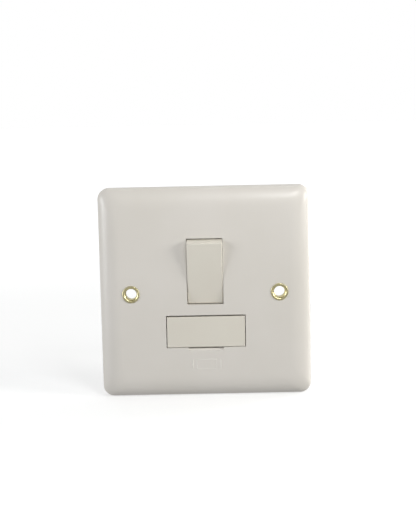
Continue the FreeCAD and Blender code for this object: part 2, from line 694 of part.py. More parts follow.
def draw_drum(sketch, radius, front, back):
    """A slice of a round drum about the sketch's origin, cut flat at front and back."""
    size, near, far = amount(radius), amount(front), amount(back)
    near_half = math.sqrt(size ** 2 - near ** 2)
    far_half = math.sqrt(size ** 2 - far ** 2)
    circle = Part.Circle(Vector(0, 0, 0), Vector(0, 0, 1), size)
    sketch.addGeometry([
        Part.LineSegment(Vector(near, near_half, 0), Vector(near, -near_half, 0)),
        Part.ArcOfCircle(circle, math.atan2(-near_half, near) + 2 * math.pi,
                         math.atan2(-far_half, far) + 2 * math.pi),
        Part.LineSegment(Vector(far, -far_half, 0), Vector(far, far_half, 0)),
        Part.ArcOfCircle(circle, math.atan2(far_half, far), math.atan2(near_half, near)),
    ])
    sketch.addConstraint([
        Sketcher.Constraint("Coincident", 0, 2, 1, 1),
        Sketcher.Constraint("Coincident", 1, 2, 2, 1),
        Sketcher.Constraint("Coincident", 2, 2, 3, 1),
        Sketcher.Constraint("Coincident", 3, 2, 0, 1),
        Sketcher.Constraint("Coincident", 1, 3, -1, 1),
        Sketcher.Constraint("Coincident", 3, 3, -1, 1),
        Sketcher.Constraint("Vertical", 0),
        Sketcher.Constraint("Vertical", 2),
    ])
    measure(sketch, "Radius", (1,), radius)
    measure(sketch, "Radius", (3,), radius)
    measure(sketch, "DistanceX", (-1, 1, 0, 1), front)
    measure(sketch, "DistanceX", (-1, 1, 2, 1), back)


def make_rocker():
    """The switch rocker, hollow at the back, with trunnions and two stems for the plungers.

    It is drawn level about its pivot, and its placement tilts it to the on position.
    """
    body = new_body("rocker")
    front = f"(0 - {ROCKER_RISE})"
    sketch = new_sketch(body, ALONG_X, f"(0 - {ROCKER_HALF_WIDTH})")
    draw_drum(sketch, ROCKER_RADIUS, front, "rocker_skirt")
    pad = body.newObject("PartDesign::Pad", "Pad")
    pad.Profile = sketch
    pad.setExpression("Length", bound(f"{ROCKER_HALF_WIDTH} * 2"))
    doc.recompute()
    face = amount(front)
    side = amount(ROCKER_HALF_WIDTH)

    def front_edge(edge):
        box = edge.BoundBox
        flat_side = box.XLength < 1e-6 and abs(abs(box.Center.x) - side) < 1e-3
        return lies_at(edge, 1, face) or (flat_side and not isinstance(edge.Curve, Part.Line))
    round_edges(body, "rocker_edge_radius", front_edge)
    hollow_half = f"({ROCKER_HALF_WIDTH} - rocker_wall)"
    sketch = new_sketch(body, ALONG_X, hollow_half)
    draw_drum(sketch, f"({ROCKER_RADIUS} - rocker_wall)", f"({front} + rocker_wall)",
              "(rocker_skirt + running_fit)")
    hollow = body.newObject("PartDesign::Pocket", "Pocket")
    hollow.Profile = sketch
    hollow.setExpression("Length", bound(f"{hollow_half} * 2"))
    doc.recompute()
    inside = f"({front} + rocker_wall)"
    for pole in ("(0 - pole_offset)", "pole_offset"):
        add_prism(body, ALONG_Y, inside, "stem_reach", circles=[(pole, "0", "stem_radius")])
    for pole in ("(0 - pole_offset)", "pole_offset"):
        cut_prism(body, ALONG_Y, inside, "stem_reach",
                  circles=[(pole, "0", "plunger_radius + running_fit")])
    pin = [("0", "0", "trunnion_radius")]
    pin_end = f"({ROCKER_HALF_WIDTH} + trunnion_length)"
    add_prism(body, ALONG_X, hollow_half, pin_end, circles=pin)
    add_prism(body, ALONG_X, f"(0 - {pin_end})", f"(0 - {hollow_half})", circles=pin)
    fix_place(body, "0", PIVOT_Y, "rocker_centre", "rocker_tilt")


def make_plunger(pole, side):
    """A round-nosed plunger that slides in the rocker's stem."""
    body = new_body(f"plunger_{pole}")
    shoulder = "(stem_reach - plunger_guide)"
    spigot = "(plunger_radius - spring_wire_radius * 3)"
    add_turned(body, [(f"{shoulder} - plunger_travel_room", "0"),
                      (f"{shoulder} - plunger_travel_room", spigot), (shoulder, spigot),
                      (shoulder, "plunger_radius"), ("plunger_reach", "plunger_radius"),
                      ("plunger_reach", "0")])
    tip = amount("plunger_reach")
    round_edges(body, "plunger_nose_radius", lambda edge: lies_at(edge, 1, tip))
    fix_place(body, mirrored("pole_offset", side), PIVOT_Y, "rocker_centre", "rocker_tilt")


def make_plunger_spring(pole, side):
    """The coil spring behind a plunger, from the stem's blind end to the plunger's shoulder."""
    spring = doc.addObject("Part::Feature", f"plunger_spring_{pole}")
    spring.Label = spring.Name
    wire = amount("spring_wire_radius")
    low = amount(f"rocker_wall - {ROCKER_RISE}") + wire
    high = amount("stem_reach - plunger_guide") - wire
    radius = amount("plunger_radius") - wire * 1.5
    turns = amount("spring_turns")
    helix = Part.makeHelix((high - low) / turns, high - low, radius)
    ring = Part.Wire(Part.makeCircle(wire, Vector(radius, 0, 0), Vector(0, 1, 0)))
    spring.Shape = Part.Wire(helix).makePipeShell([ring], True, True)
    pivot = Vector(amount(mirrored("pole_offset", side)), amount(PIVOT_Y), amount("rocker_centre"))
    in_unit = Placement(pivot, Rotation(Vector(1, 0, 0), amount("rocker_tilt")))
    in_stem = Placement(Vector(0, low, 0), Rotation(Vector(1, 0, 0), -90))
    spring.Placement = in_unit.multiply(in_stem)
    PARTS.append(spring)


def make_tray():
    """The inner tray: windows for the switch, the fuse chamber, and slots for clips and legs."""
    body = new_body("insulating_tray")
    add_prism(body, ALONG_Y, "0", TRAY_BACK, [
        centred_box("0", "0", f"({BASE_HALF_WIDTH} - tray_setback) * 2",
                    f"({BASE_HALF_HEIGHT} - tray_setback) * 2")])
    round_edges(body, "base_corner_radius", lambda edge: runs_along(edge, 1))
    window_out = "(pole_offset + seesaw_width / 2 + window_side_gap)"
    window_low = "rocker_centre - seesaw_half_length - window_end_gap"
    window_high = "rocker_centre + seesaw_half_length + window_end_gap"
    for side in (-1, 1):
        near, far = mirrored("(partition / 2)", side), mirrored(window_out, side)
        cut_prism(body, ALONG_Y, "0", TRAY_BACK, [box_corners(near, far, window_low, window_high)])
    chamber = centred_box("0", "fuse_centre", "carrier_opening_width", "carrier_opening_height")
    cut_prism(body, ALONG_Y, "0", CHAMBER_FLOOR, [chamber])
    for side in (-1, 1):
        cut_prism(body, ALONG_Y, "0", TRAY_BACK, [arm_slot(side)])
        tail = centred_box(mirrored("clip_centre", side), "fuse_centre",
                           "clip_tail_thick + trough_gap", "clip_tail_width + trough_gap")
        cut_prism(body, ALONG_Y, CHAMBER_FLOOR, TRAY_BACK, [tail])
    bar_low = f"({ROW_HEIGHT} + terminal_size / 2 + entry_wall / 2 - strap_bar_width)"
    for across, side in (("0", 1), ("terminal_pitch", -1)):
        slot = centred_box(across, mirrored(f"({bar_low} + strap_thick / 2)", side),
                           "blade_width + trough_gap * 2", "strap_thick + trough_gap * 2")
        cut_prism(body, ALONG_Y, "0", TRAY_BACK, [slot])
    cut_prism(body, ALONG_Y, "0", TRAY_BACK, circles=screw_holes("housing_screw_radius + trough_gap"))


def arm_slot(side):
    """The slot that a carrier arm and its barb run in, seen from the front."""
    near = mirrored(f"({CARRIER_HALF_WIDTH} - carrier_wall - carrier_side_gap)", side)
    far = mirrored(f"({CARRIER_HALF_WIDTH} + carrier_barb + carrier_side_gap)", side)
    return box_corners(near, far, "fuse_centre - carrier_arm_width / 2 - carrier_side_gap",
                       "fuse_centre + carrier_arm_width / 2 + carrier_side_gap")


def screw_holes(radius):
    """Circles at the four housing screws."""
    places = []
    for across in (SCREW_X, f"(0 - {SCREW_X})"):
        for up in ("housing_screw_rise", "(0 - housing_screw_rise)"):
            places.append((across, up, radius))
    return places


def terminal_places():
    """Name, place across and which row of each terminal: +1 is the supply row at the top."""
    return [
        ("supply_neutral", "(0 - terminal_pitch)", 1),
        ("supply_earth", "0", 1),
        ("supply_live", "terminal_pitch", 1),
        ("load_live", "(0 - terminal_pitch)", -1),
        ("load_neutral", "0", -1),
        ("load_earth", "terminal_pitch", -1),
    ]


def make_rear_base():
    """The rear moulding: terminal pockets, cable entries, screwdriver holes and blade troughs."""
    body = new_body("rear_base")
    add_prism(body, ALONG_Y, TRAY_BACK, BASE_BACK,
              [centred_box("0", "0", f"{BASE_HALF_WIDTH} * 2", f"{BASE_HALF_HEIGHT} * 2")])
    round_edges(body, "base_corner_radius", lambda edge: runs_along(edge, 1))
    pocket = "terminal_size + pocket_gap * 2"
    for _, across, row in terminal_places():
        up = mirrored(ROW_HEIGHT, row)
        cut_prism(body, ALONG_Y, TRAY_BACK, f"({TERMINAL_BACK} + pocket_gap)",
                  [centred_box(across, up, pocket, pocket)])
        cut_prism(body, ALONG_Y, TERMINAL_BACK, BASE_BACK, circles=[(across, up, "driver_radius")])
        inner, outer = sorted([mirrored(ROW_HEIGHT, row), mirrored(BASE_HALF_HEIGHT, row)],
                              key=amount)
        cut_prism(body, ALONG_Z, inner, outer, circles=[(across, CABLE_Y, "entry_radius")])
    for outline in blade_outlines("trough_gap").values():
        cut_prism(body, ALONG_Y, TRAY_BACK, BLADE_BACK, [outline])
    arm_end = "(carrier_arm_depth + clip_seat_gap - plate_depth)"
    for side in (-1, 1):
        cut_prism(body, ALONG_Y, TRAY_BACK, arm_end, [arm_slot(side)])
    cut_prism(body, ALONG_Y, TRAY_BACK, BASE_BACK,
              circles=screw_holes("housing_screw_radius + trough_gap"))
    head_front = f"({BASE_BACK} - housing_head_height - trough_gap)"
    cut_prism(body, ALONG_Y, head_front, BASE_BACK,
              circles=screw_holes("housing_head_radius + trough_gap"))
    back = amount(BASE_BACK)
    half_width, half_height = amount(BASE_HALF_WIDTH), amount(BASE_HALF_HEIGHT)
    round_edges(body, "base_edge", lambda edge: lies_at(edge, 1, back)
                and outside(edge, half_width, half_height), "Chamfer")


def make_terminal(name, across, row):
    """A brass pillar terminal with a cable bore and a clamp screw from behind."""
    body = new_body(f"terminal_{name}")
    size = "terminal_size"
    add_prism(body, ALONG_Y, "0", size, [centred_box("0", "0", size, size)])
    half = amount("terminal_size / 2")
    round_edges(body, "terminal_edge",
                lambda edge: runs_along(edge, 1) and abs(abs(edge.BoundBox.Center.x) - half) < 1e-3,
                "Chamfer")
    cut_prism(body, ALONG_Z, "(0 - terminal_size / 2)", "(terminal_size / 2)",
              circles=[("0", "terminal_size / 2", "cable_bore_radius")])
    cut_prism(body, ALONG_Y, "(terminal_size / 2)", size,
              circles=[("0", "0", "terminal_screw_radius")])
    fix_place(body, across, BLADE_BACK, mirrored(ROW_HEIGHT, row))
    screw = new_body(f"terminal_screw_{name}")
    tip = "(terminal_size / 2 + cable_bore_radius + screw_fit)"
    head = "(terminal_size + terminal_screw_out)"
    top = f"({head} + terminal_head_height)"
    add_turned(screw, [(tip, "0"), (tip, "terminal_screw_radius - screw_fit"),
                       (head, "terminal_screw_radius - screw_fit"), (head, "terminal_head_radius"),
                       (top, "terminal_head_radius"), (top, "0")])
    slot = centred_box("0", "0", "terminal_head_radius * 2", "screw_slot")
    cut_prism(screw, ALONG_Y, f"({top} - terminal_head_height / 2)", top, [slot])
    fix_place(screw, across, BLADE_BACK, mirrored(ROW_HEIGHT, row))


def make_housing_screw(name, across, up):
    """A screw that holds base, tray and strap to a pillar of the plate."""
    body = new_body(name)
    head = f"({BASE_BACK} - housing_head_height - trough_gap)"
    top = f"({head} + housing_head_height)"
    tip = "(0 - strap_thick - housing_screw_grip + trough_gap)"
    shank = "(housing_screw_radius - screw_fit)"
    add_turned(body, [(tip, "0"), (tip, f"{shank} - housing_point_taper"),
                      (f"{tip} + housing_point_length", shank), (head, shank),
                      (head, "housing_head_radius"), (top, "housing_head_radius"), (top, "0")])
    for width, height in (("cross_slot_width", "screw_slot"), ("screw_slot", "cross_slot_width")):
        cut_prism(body, ALONG_Y, f"({top} - cross_slot_depth)", top,
                  [centred_box("0", "0", width, height)])
    fix_place(body, across, "0", up)


def make_fuse():
    """The cartridge fuse: a ceramic tube with a metal cap pressed on each end."""
    tube = new_body("fuse_tube")
    half = "(fuse_length / 2)"
    inner_half = f"({half} - fuse_cap_wall)"
    add_prism(tube, ALONG_X, f"(0 - {inner_half})", inner_half,
              circles=[("0", "0", FUSE_TUBE_RADIUS)])
    fix_place(tube, "0", FUSE_Y, "fuse_centre")
    for name, side in (("fuse_cap_left", -1), ("fuse_cap_right", 1)):
        cap = new_body(name)
        mouth, end = sorted([mirrored(f"({half} - fuse_cap_length)", side), mirrored(half, side)],
                            key=amount)
        bottom = mirrored(inner_half, side)
        add_prism(cap, ALONG_X, mouth, end, circles=[("0", "0", "fuse_cap_radius")])
        cavity = (mouth, bottom) if side > 0 else (bottom, end)
        cut_prism(cap, ALONG_X, *cavity, circles=[("0", "0", FUSE_TUBE_RADIUS)])
        outer = amount(mirrored(half, side))
        round_edges(cap, "fuse_cap_edge_radius", lambda edge: lies_at(edge, 0, outer))
        fix_place(cap, "0", FUSE_Y, "fuse_centre")


def make_fuse_clip(name, side):
    """A spring clip that grips one fuse cap, with a tail through the chamber floor."""
    body = new_body(name)
    base_back = "(fuse_cap_radius + clip_seat_gap + clip_thick)"
    base_front = "(fuse_cap_radius + clip_seat_gap)"
    inner, outer = CLIP_INNER, f"({CLIP_INNER} + clip_thick)"
    mouth = "(0 - clip_mouth)"
    lip = "(0 - clip_mouth - clip_lip_length)"
    profile = [(base_back, f"0 - {outer}"), (base_back, outer), (mouth, outer),
               (lip, f"{outer} + clip_flare"), (lip, f"{inner} + clip_flare"), (mouth, inner),
               (base_front, inner), (base_front, f"0 - {inner}"), (mouth, f"0 - {inner}"),
               (lip, f"0 - {inner} - clip_flare"), (lip, f"0 - {outer} - clip_flare"),
               (mouth, f"0 - {outer}")]
    across = mirrored("clip_centre", side)
    add_prism(body, ALONG_X, f"{across} - clip_width / 2", f"{across} + clip_width / 2", [profile])
    tail = centred_box(across, "0", "clip_tail_thick", "clip_tail_width")
    add_prism(body, ALONG_Y, base_back, f"({BLADE_FRONT} - {FUSE_Y})", [tail])
    fix_place(body, "0", FUSE_Y, "fuse_centre")


def make_fuse_carrier():
    """The fuse carrier: a flush front, a cradle for the fuse and two arms with barbs."""
    body = new_body("fuse_carrier")
    half = CARRIER_HALF_WIDTH
    add_prism(body, ALONG_Y, "0", "carrier_rim",
              [box_corners(f"(0 - {half})", half, CARRIER_LOW, CARRIER_TOP)])
    front, low = 0.0, amount(CARRIER_LOW)
    round_edges(body, "carrier_edge_radius", lambda edge: lies_at(edge, 1, front))
    wall = "carrier_wall"
    cut_prism(body, ALONG_Y, "face_wall", "carrier_rim",
              [box_corners(f"({wall} - {half})", f"({half} - {wall})", f"({CARRIER_LOW} + {wall})",
                           f"({CARRIER_TOP} - {wall})")])
    arm_low, arm_high = "(0 - carrier_arm_width / 2)", "(carrier_arm_width / 2)"
    for side in (-1, 1):
        inner, outer = mirrored(f"({half} - {wall})", side), mirrored(half, side)
        arm = box_corners(inner, outer, arm_low, arm_high)
        add_prism(body, ALONG_Y, "face_wall", "carrier_arm_depth", [arm])
        tip = mirrored(f"({half} + carrier_barb)", side)
        barb = [(outer, "(carrier_arm_depth - carrier_barb_length)"),
                (tip, "(carrier_arm_depth - carrier_barb_length)"),
                (outer, "carrier_arm_depth")]
        add_prism(body, ALONG_Z, arm_low, arm_high, [barb])
    cradle_bore = f"({FUSE_TUBE_RADIUS} + running_fit)"
    cradle_half = f"({cradle_bore} + cradle_wall)"
    cradle_back = "(fuse_depth + cradle_hook)"
    wide = "cradle_half_width"
    add_prism(body, ALONG_Y, "face_wall", cradle_back,
              [box_corners(f"(0 - {wide})", wide, f"(0 - {cradle_half})", cradle_half)])
    cut_prism(body, ALONG_X, f"(0 - {wide})", wide, circles=[("fuse_depth", "0", cradle_bore)])
    mouth = f"({cradle_bore} - cradle_lip)"
    cut_prism(body, ALONG_Y, "fuse_depth", cradle_back,
              [box_corners(f"(0 - {wide})", wide, f"(0 - {mouth})", mouth)])
    fix_place(body, "0", PLATE_FRONT, "fuse_centre")


def make_all():
    make_front_plate()
    make_eyelet("fixing_eyelet_left", -1)
    make_eyelet("fixing_eyelet_right", 1)
    make_earth_strap()
    make_tray()
    make_rear_base()
    make_rocker()
    for pole, side in (("neutral", -1), ("live", 1)):
        make_plunger(pole, side)
        make_plunger_spring(pole, side)
        make_seesaw(pole, side)
    make_contact_tips()
    make_blades()
    for name, across, row in terminal_places():
        make_terminal(name, across, row)
    for number, (across, up, _) in enumerate(screw_holes("1"), start=1):
        make_housing_screw(f"housing_screw_{number}", across, up)
    make_fuse_clip("fuse_clip_load", -1)
    make_fuse_clip("fuse_clip_supply", 1)
    make_fuse_carrier()
    make_fuse()
    doc.recompute()


def check_all():
    """Stop on any failed object, and on any sub-part that isn't one sound solid."""
    failed = [item for item in doc.Objects if {"Invalid", "Error"} & set(item.State)]
    if failed:
        names = [(item.Name, [user.Label for user in item.InListRecursive]) for item in failed]
        raise RuntimeError(f"Failed objects: {names}")
    for part in PARTS:
        shape = part.Shape
        if shape.isNull() or not shape.isValid() or len(shape.Solids) != 1:
            raise RuntimeError(f"{part.Label} has no single sound solid")


def write_all():
    os.makedirs("parts", exist_ok=True)
    for part in PARTS:
        part.Shape.exportStep(f"parts/{part.Label}.step")


make_all()
check_all()
write_all()
print(len(PARTS), "sub-parts written")
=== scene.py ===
import bmesh
import bpy
import json
import math
from mathutils import Matrix, Vector


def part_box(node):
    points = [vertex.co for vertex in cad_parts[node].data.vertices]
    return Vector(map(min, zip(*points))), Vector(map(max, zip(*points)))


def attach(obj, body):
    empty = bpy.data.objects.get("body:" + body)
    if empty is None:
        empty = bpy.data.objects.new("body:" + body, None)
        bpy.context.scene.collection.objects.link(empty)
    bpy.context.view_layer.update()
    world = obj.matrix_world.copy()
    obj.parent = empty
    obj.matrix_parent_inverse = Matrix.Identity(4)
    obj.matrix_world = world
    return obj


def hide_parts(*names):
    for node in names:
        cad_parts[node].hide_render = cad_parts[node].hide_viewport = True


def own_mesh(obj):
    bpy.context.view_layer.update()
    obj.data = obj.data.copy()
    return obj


# A switched fused connection unit: white mouldings in front, brass and plated screws behind.
# Metres, in the part's own frame: the front faces -Y, +Z is up and y = 0 is the wall.

MM = 0.001

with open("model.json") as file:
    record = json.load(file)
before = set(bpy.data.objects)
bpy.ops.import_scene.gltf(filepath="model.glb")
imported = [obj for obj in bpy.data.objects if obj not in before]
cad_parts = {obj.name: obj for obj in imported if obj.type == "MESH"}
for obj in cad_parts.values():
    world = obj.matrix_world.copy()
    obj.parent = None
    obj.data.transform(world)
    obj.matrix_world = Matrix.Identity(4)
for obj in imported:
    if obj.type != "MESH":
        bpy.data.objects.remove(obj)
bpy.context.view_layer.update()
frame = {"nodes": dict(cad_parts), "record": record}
nodes = frame["nodes"]
scene = bpy.context.scene

# The view of the front, found by fitting the plate's corners and openings, in degrees and metres
VIEW_AZIMUTH = 0.36
VIEW_ELEVATION = 7.87
VIEW_ROLL = -1.22
VIEW_DISTANCE = 450 * MM
VIEW_TARGET = Vector((1.365, -4.5, 11.92)) * MM
FOCAL_PIXELS = 1102.4
FRAME_LONG_SIDE = 525
SENSOR_WIDTH = 36.0

# Grain sizes of the finishes in millimetres. Real grain and mould ripple are far finer than
# a picture shows, so they are drawn as coarse as they need to be.
COLOUR_DRIFT = 26
SHEEN_PATCHES = 3.5
TARNISH_PATCHES = 2.4
RUBBED_PATCHES = 1.1
RIPPLE_STRENGTH = 0.35
GRAIN_STRENGTH = 0.3
# Nearly all of a noise texture's values lie between these two
NOISE_LOW, NOISE_HIGH = 0.3, 0.7

# The raised fuse symbol under the carrier, in millimetres
SYMBOL_CENTRE = -29.35
SYMBOL_WIDTH = 8.1
SYMBOL_HEIGHT = 3.9
SYMBOL_END_OUT = 1.65
SYMBOL_LINE = 0.70
SYMBOL_RISE = 0.24
SYMBOL_SUNK = 0.13
RIDGE_SIDES = 12

# The springs behind the plungers, which lie along the tilted rocker's stems, in millimetres
# and degrees. A spring gives a hair more than its plunger's travel of 1.0, to stay clear of it.
ROCKER_TILT = 9.5
SPRING_WIRE = 0.17
SPRING_TURNS = 5.0
WIRE_SIDES = 10
COIL_STEPS = 28

# Threads by the start of their screws' names, in millimetres: the radius of the ridge's centre,
# where the thread starts and ends along +Y, its pitch and half its ridge's thickness
SCREW_THREADS = {
    "terminal_screw": (1.56, 13.5, 15.9, 0.6, 0.17),
    "housing_screw": (1.26, -3.5, 8.0, 1.27, 0.25),
}
# A four-sided wire stands on its corner, so that half of it makes a V-shaped ridge
THREAD_SIDES = 4

# The floor, in metres, and how its own brightness grows to white away from the unit
FLOOR_HALF_SIDE = 8.0
FLOOR_GAP = 0.1 * MM
FLOOR_FADE = (0.12, 0.75)
FLOOR_GLOW = (0.42, 0.80)

# Lamps: name, place in metres, side of the square in metres, watts and colour
LAMPS = (
    ("right_key", (0.85, -0.30, 0.22), 0.34, 5.9, "#FFFDF9"),
    ("left_key", (-0.80, -0.36, 0.12), 0.40, 4.5, "#FBFCFF"),
    ("front_fill", (0.10, -0.24, 0.22), 0.10, 0.38, "#FFFFFF"),
    ("right_rim", (0.75, 0.50, 0.10), 0.40, 4.7, "#FFFFFF"),
)

# Light from all round, by the y and z of its direction
BELOW_Z, BELOW_STRENGTH = (-0.35, 0.05), (0.50, 0.08)
ABOVE_Z, ABOVE_STRENGTH = (0.35, 0.75), 0.20
BEHIND_Y, BEHIND_STRENGTH = (-0.05, 0.5), 0.80
OVER_FLOOR_Z = (-0.3, -0.06)
BACKDROP_STRENGTH = 1.0


def linear(hex_colour):
    """An sRGB hex value as the linear colour that a shader socket takes."""
    channels = [int(hex_colour[i:i + 2], 16) / 255 for i in (1, 3, 5)]
    return tuple(c / 12.92 if c <= 0.04045 else ((c + 0.055) / 1.055) ** 2.4
                 for c in channels) + (1.0,)


def add_node(tree, kind, settings=None, inputs=None):
    """Add a node with its settings. An input is a value, or another node's output to link."""
    node = tree.nodes.new(kind)
    for name, value in (settings or {}).items():
        setattr(node, name, value)
    for name, value in (inputs or {}).items():
        if isinstance(value, bpy.types.NodeSocket):
            tree.links.new(value, node.inputs[name])
        else:
            node.inputs[name].default_value = value
    return node


def ramp(tree, source, span, levels):
    """The source's values over a span, turned smoothly to the range between two levels."""
    return add_node(tree, "ShaderNodeMapRange", {"interpolation_type": "SMOOTHSTEP"}, {
        "Value": source, "From Min": span[0], "From Max": span[1],
        "To Min": levels[0], "To Max": levels[1],
    }).outputs["Result"]


def new_material(name):
    material = bpy.data.materials.new(name)
    material.use_nodes = True
    material.node_tree.nodes.clear()
    return material, material.node_tree


def finish_material(tree, shader):
    add_node(tree, "ShaderNodeOutputMaterial", inputs={"Surface": shader.outputs["BSDF"]})


def noise_at(tree, grain_mm, detail, stretch=(1, 1, 1)):
    """Noise on object coordinates, with grains of about the given size in millimetres."""
    place = add_node(tree, "ShaderNodeTexCoord").outputs["Object"]
    mapping = add_node(tree, "ShaderNodeMapping", inputs={"Vector": place, "Scale": stretch})
    return add_node(tree, "ShaderNodeTexNoise", inputs={
        "Vector": mapping.outputs["Vector"],
        "Scale": 1 / (grain_mm * MM),
        "Detail": detail,
    }).outputs["Fac"]


def spread(tree, noise, low, high):
    """Noise values turned to the range from low to high."""
    return add_node(tree, "ShaderNodeMapRange", inputs={
        "Value": noise, "From Min": NOISE_LOW, "From Max": NOISE_HIGH,
        "To Min": low, "To Max": high,
    }).outputs["Result"]


def between(tree, factor, first, second):
    """A colour between two hex colours."""
    mix = add_node(tree, "ShaderNodeMix", {"data_type": "RGBA"}, {"Factor": factor})
    mix.inputs["A"].default_value = linear(first)
    mix.inputs["B"].default_value = linear(second)
    return mix.outputs["Result"]


def bumped(tree, height, depth_mm, strength):
    return add_node(tree, "ShaderNodeBump", inputs={
        "Height": height, "Distance": depth_mm * MM, "Strength": strength,
    }).outputs["Normal"]


def moulded(name, colours, roughness, ripple_mm, ripple_depth_mm, ior):
    """A moulded surface: slow colour drift, an even sheen and the slight ripple of its mould."""
    material, tree = new_material(name)
    drift = spread(tree, noise_at(tree, COLOUR_DRIFT, 3.0), 0.0, 1.0)
    ripple = noise_at(tree, ripple_mm, 3.0)
    shader = add_node(tree, "ShaderNodeBsdfPrincipled", inputs={
        "Base Color": between(tree, drift, *colours),
        "Roughness": spread(tree, noise_at(tree, SHEEN_PATCHES, 4.0), *roughness),
        "IOR": ior,
        "Normal": bumped(tree, ripple, ripple_depth_mm, RIPPLE_STRENGTH),
    })
    finish_material(tree, shader)
    return material


def worked_metal(name, colours, roughness, grain_mm, stretch=(1, 1, 1), grain_depth_mm=0.01):
    """A drawn, rolled or turned metal: grain along its working, and slight tarnish."""
    material, tree = new_material(name)
    tarnish = spread(tree, noise_at(tree, TARNISH_PATCHES, 4.0), 0.0, 1.0)
    grain = noise_at(tree, grain_mm, 2.0, stretch)
    shader = add_node(tree, "ShaderNodeBsdfPrincipled", inputs={
        "Base Color": between(tree, tarnish, *colours),
        "Metallic": 1.0,
        "Roughness": spread(tree, noise_at(tree, RUBBED_PATCHES, 3.0), *roughness),
        "Normal": bumped(tree, grain, grain_depth_mm, GRAIN_STRENGTH),
    })
    finish_material(tree, shader)
    return material


def make_materials():
    """One material for each finish of the record."""
    return {
        # Urea moulding from a polished mould: hard, warm white, with a soft gloss
        "plate_moulding": moulded(
            "urea_moulding_polished", ("#DEDAD3", "#DAD6CE"), roughness=(0.30, 0.38),
            ripple_mm=0.9, ripple_depth_mm=0.012, ior=1.56),
        # The rocker and carrier are a creamier plastic with the same polish
        "switch_moulding": moulded(
            "polycarbonate_moulding_cream", ("#DFDBCF", "#DBD6CA"), roughness=(0.30, 0.40),
            ripple_mm=0.8, ripple_depth_mm=0.010, ior=1.58),
        # Nylon, left matt by a spark-eroded mould
        "tray_moulding": moulded(
            "nylon_moulding_grey", ("#C9C7C1", "#BDBBB4"), roughness=(0.50, 0.62),
            ripple_mm=0.35, ripple_depth_mm=0.03, ior=1.53),
        # The base is the plate's urea from a plainer, matt mould
        "base_moulding": moulded(
            "urea_moulding_matt", ("#DCD9D2", "#D2CFC7"), roughness=(0.44, 0.56),
            ripple_mm=0.40, ripple_depth_mm=0.03, ior=1.56),
        # Cold-rolled brass, stamped bright, with the grain of its rolling
        "brass": worked_metal(
            "brass_stamped", ("#EADDA3", "#C9B87C"), roughness=(0.18, 0.32),
            grain_mm=0.5, stretch=(1, 1, 6)),
        # Bright zinc plating on steel, faintly blue
        "zinc_steel": worked_metal(
            "zinc_plated_steel", ("#C9CBCC", "#A3A6A8"), roughness=(0.26, 0.40),
            grain_mm=0.3, stretch=(1, 5, 1)),
        # Pressed silver alloy: pale, with a soft shine
        "silver_contact": worked_metal(
            "silver_alloy_contact", ("#E3E1DC", "#C8C6C0"), roughness=(0.18, 0.30),
            grain_mm=0.3),
        # Steel wire, drawn through dies and left dark, with streaks along it
        "spring_steel": worked_metal(
            "drawn_spring_wire", ("#8E8F90", "#6C6D6E"), roughness=(0.25, 0.36),
            grain_mm=0.2, stretch=(1, 4, 1)),
        # Unglazed steatite: chalky and matt
        "fuse_ceramic": moulded(
            "steatite_unglazed", ("#E6E1D5", "#DCD6C8"), roughness=(0.62, 0.78),
            ripple_mm=0.25, ripple_depth_mm=0.02, ior=1.5),
        # Nickel plating on a drawn cap: warm and nearly mirror-bright
        "fuse_metal": worked_metal(
            "nickel_plated_cap", ("#D8D5CF", "#BDB9B0"), roughness=(0.16, 0.28),
            grain_mm=0.3, stretch=(5, 1, 1)),
    }


materials = make_materials()
slot_of = {item["node"]: item["material_slot"] for item in frame["record"]["subparts"]}


def dress_nodes():
    """Every node gets its finish."""
    # The eyelets' rolled mouths are tumbled smooth, so they reflect softly and look paler
    eyelet_finish = worked_metal(
        "brass_rolled_satin", ("#E6DEB4", "#CFC594"), roughness=(0.38, 0.46), grain_mm=0.5,
        grain_depth_mm=0.003)
    for name, solid in nodes.items():
        finish = eyelet_finish if name.startswith("fixing_eyelet") else materials[slot_of[name]]
        solid.data.materials.clear()
        solid.data.materials.append(finish)
        for face in solid.data.polygons:
            face.material_index = 0


def new_shape_tree(name, sizes):
    """A geometry nodes tree with named inputs for its sizes and its finish."""
    tree = bpy.data.node_groups.new(name, "GeometryNodeTree")
    sockets = tree.interface
    sockets.new_socket("Geometry", in_out="INPUT", socket_type="NodeSocketGeometry")
    for size in sizes:
        sockets.new_socket(size, in_out="INPUT", socket_type="NodeSocketFloat")
    sockets.new_socket("Finish", in_out="INPUT", socket_type="NodeSocketMaterial")
    sockets.new_socket("Geometry", in_out="OUTPUT", socket_type="NodeSocketGeometry")
    return tree, add_node(tree, "NodeGroupInput").outputs


def end_shape_tree(tree, geometry, finish):
    """End a tree with real geometry in its finish, because instances aren't exported."""
    real = add_node(tree, "GeometryNodeRealizeInstances", inputs={"Geometry": geometry})
    dressed = add_node(tree, "GeometryNodeSetMaterial", inputs={
        "Geometry": real.outputs["Geometry"], "Material": finish})
    add_node(tree, "NodeGroupOutput", inputs={"Geometry": dressed.outputs["Geometry"]})


def swept(tree, path, sides, radius):
    """Geometry nodes that sweep a ring along a path, with closed ends."""
    ring = add_node(tree, "GeometryNodeCurvePrimitiveCircle", inputs={
        "Resolution": sides, "Radius": radius})
    return add_node(tree, "GeometryNodeCurveToMesh", inputs={
        "Curve": path, "Profile Curve": ring.outputs["Curve"], "Fill Caps": True,
    }).outputs["Mesh"]


